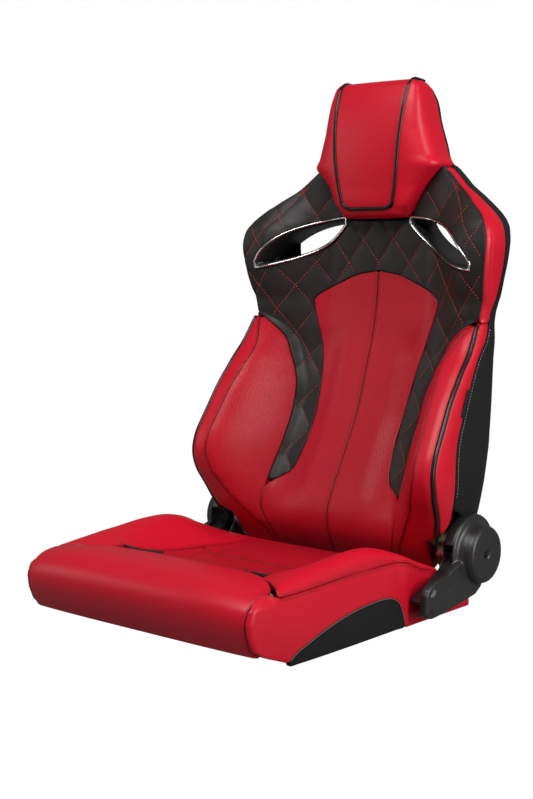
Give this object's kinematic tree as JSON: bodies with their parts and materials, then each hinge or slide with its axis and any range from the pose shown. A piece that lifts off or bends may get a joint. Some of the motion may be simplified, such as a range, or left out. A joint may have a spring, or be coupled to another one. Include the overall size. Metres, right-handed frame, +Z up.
{
  "type": "reclining racing seat",
  "caption": "High-backed reclining bucket seat with side bolsters, harness slots and a lever recliner on each side.",
  "frame": {"origin": "centre of the floor bolt pattern, in the plane of the underside", "axes": "+X to the sitter's left, -Y to the front of the seat, +Z up"},
  "size_m": [0.62, 0.7527, 0.94],
  "materials": {
    "painted_steel": "semi-gloss black powder coat",
    "spring_wire": "oil-blackened wire",
    "zinc_fasteners": "zinc plated",
    "lock_steel": "bare ground steel, oiled",
    "foam": "open-cell moulded foam",
    "red_leather": "satin red coated leather, fine grain",
    "perforated_red_leather": "satin red coated leather with small punched holes",
    "quilted_black_leather": "satin black coated leather, diamond quilted with red thread",
    "black_piping": "smooth black coated piping",
    "black_trim_cloth": "matt black trim material",
    "black_plastic": "fine-textured satin black moulded plastic",
    "black_screws": "black oxide",
    "bright_trim": "polished bright trim"
  },
  "bodies": {
    "base": {"side_rail_left": "painted_steel", "side_rail_right": "painted_steel", "front_cross_tube": "painted_steel", "rear_cross_tube": "painted_steel", "seat_springs": "spring_wire", "floor_mount_nuts": "zinc_fasteners", "cushion_foam": "foam", "cushion_insert": "perforated_red_leather", "cushion_quilt_left": "quilted_black_leather", "cushion_quilt_right": "quilted_black_leather", "cushion_bolster_left": "red_leather", "cushion_bolster_right": "red_leather", "cushion_front_roll": "red_leather", "cushion_side_left": "red_leather", "cushion_side_right": "red_leather", "side_patch_left": "black_trim_cloth", "side_patch_right": "black_trim_cloth", "recliner_bracket_left": "painted_steel", "recliner_bracket_right": "painted_steel", "guide_disc_left": "lock_steel", "guide_disc_right": "lock_steel", "recliner_cover_left": "black_plastic", "recliner_cover_right": "black_plastic", "cover_screws": "black_screws", "bracket_bolts": "zinc_fasteners"},
    "release_shaft": {"torsion_rod": "lock_steel", "lever_left": "black_plastic", "lever_right": "black_plastic", "release_cams": "lock_steel"},
    "upper_pawls": {"upper_pawls": "lock_steel"},
    "lower_pawls": {"lower_pawls": "lock_steel"},
    "backrest": {"ring_disc_left": "lock_steel", "ring_disc_right": "lock_steel", "back_bracket_left": "painted_steel", "back_bracket_right": "painted_steel", "back_tube_left": "painted_steel", "back_tube_right": "painted_steel", "shoulder_hoop": "painted_steel", "back_lower_tube": "painted_steel", "back_cross_tube": "painted_steel", "lumbar_springs": "spring_wire", "back_foam": "foam", "headrest_foam": "foam", "headrest_surround": "red_leather", "headrest_insert": "red_leather", "headrest_piping": "black_piping", "quilted_yoke": "quilted_black_leather", "centre_insert_left": "perforated_red_leather", "centre_insert_right": "perforated_red_leather", "wing_left": "red_leather", "wing_right": "red_leather", "wing_piping_left": "black_piping", "wing_piping_right": "black_piping", "back_side_left": "red_leather", "back_side_right": "red_leather", "side_tab": "black_trim_cloth", "rear_cover": "black_trim_cloth", "harness_bezel_left": "black_plastic", "harness_bezel_right": "black_plastic", "harness_rings": "bright_trim"}
  },
  "joints": [
    {"name": "recline", "type": "hinge", "parent": "base", "child": "backrest", "pos_m": [0, 0.22, 0.104], "axis": [-1, 0, 0], "range_deg": [-18, 60]},
    {"name": "lever_lift", "type": "hinge", "parent": "base", "child": "release_shaft", "pos_m": [0, 0.22, 0.104], "axis": [-1, 0, 0], "range_deg": [0, 20], "stiffness_Nm_per_rad": 6, "springref_deg": -17.19},
    {"name": "upper_pawl_slide", "type": "slide", "parent": "base", "child": "upper_pawls", "axis": [0, 0, -1], "range_m": [0, 0.0016]},
    {"name": "lower_pawl_slide", "type": "slide", "parent": "base", "child": "lower_pawls", "axis": [0, 0, 1], "range_m": [0, 0.0016]}
  ],
  "couplings": [
    {"joint": "upper_pawl_slide", "follows": "lever_lift", "m_per_rad": 0.0043},
    {"joint": "lower_pawl_slide", "follows": "lever_lift", "m_per_rad": 0.0043}
  ]
}
